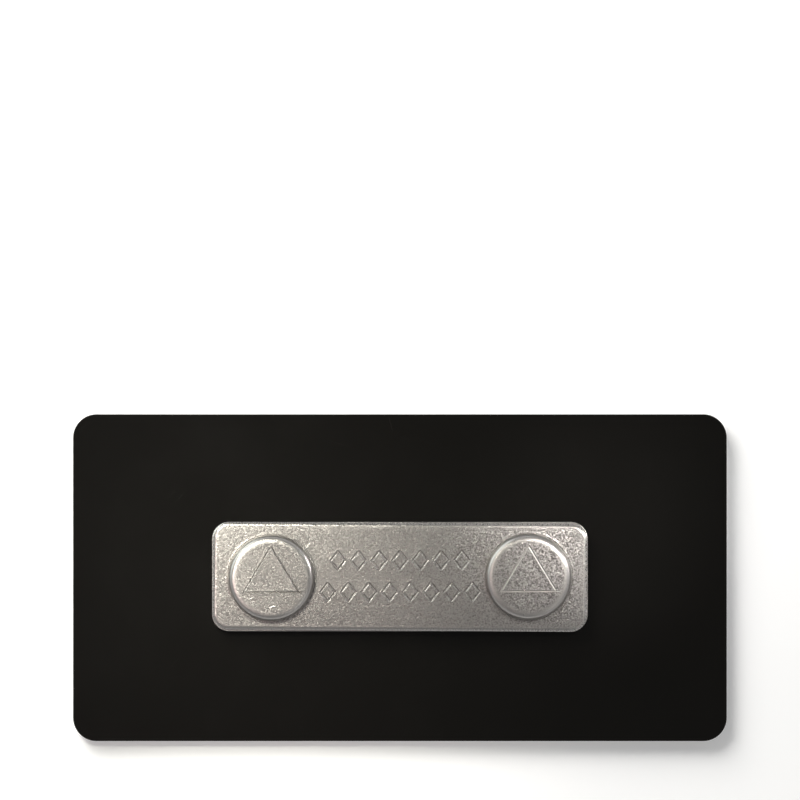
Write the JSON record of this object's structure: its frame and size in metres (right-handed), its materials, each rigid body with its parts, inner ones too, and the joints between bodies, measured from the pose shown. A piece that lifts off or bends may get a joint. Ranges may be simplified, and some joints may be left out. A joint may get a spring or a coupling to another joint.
{
  "type": "name badge",
  "caption": "Rectangular name badge with a brushed silver face and a black back, worn with a domed steel magnet bar that pulls off a keeper strip.",
  "frame": {"origin": "centre of the name face, on the surface that the badge lies on", "axes": "+Z out of the back towards the magnet bar, +X along the badge's long side, +Y across it"},
  "size_m": [0.0762, 0.0382, 0.005],
  "materials": {
    "brushed_face": "horizontally brushed satin",
    "black_plastic": "matte, fine grain",
    "foam": "matte closed-cell foam",
    "keeper_steel": "plated, satin",
    "cover_steel": "pressed and tumbled, plated, fine speckle",
    "magnet_nickel": "nickel plated"
  },
  "bodies": {
    "badge": {"face_plate": "brushed_face", "backing_plate": "black_plastic", "adhesive_pad": "foam", "keeper_plate": "keeper_steel"},
    "magnet_bar": {"magnet_cover": "cover_steel", "magnet_left": "magnet_nickel", "magnet_right": "magnet_nickel"}
  },
  "joints": [
    {"name": "magnet_bar_lift", "type": "slide", "parent": "badge", "child": "magnet_bar", "axis": [0, 0, 1], "range_m": [0, 0.015]}
  ]
}
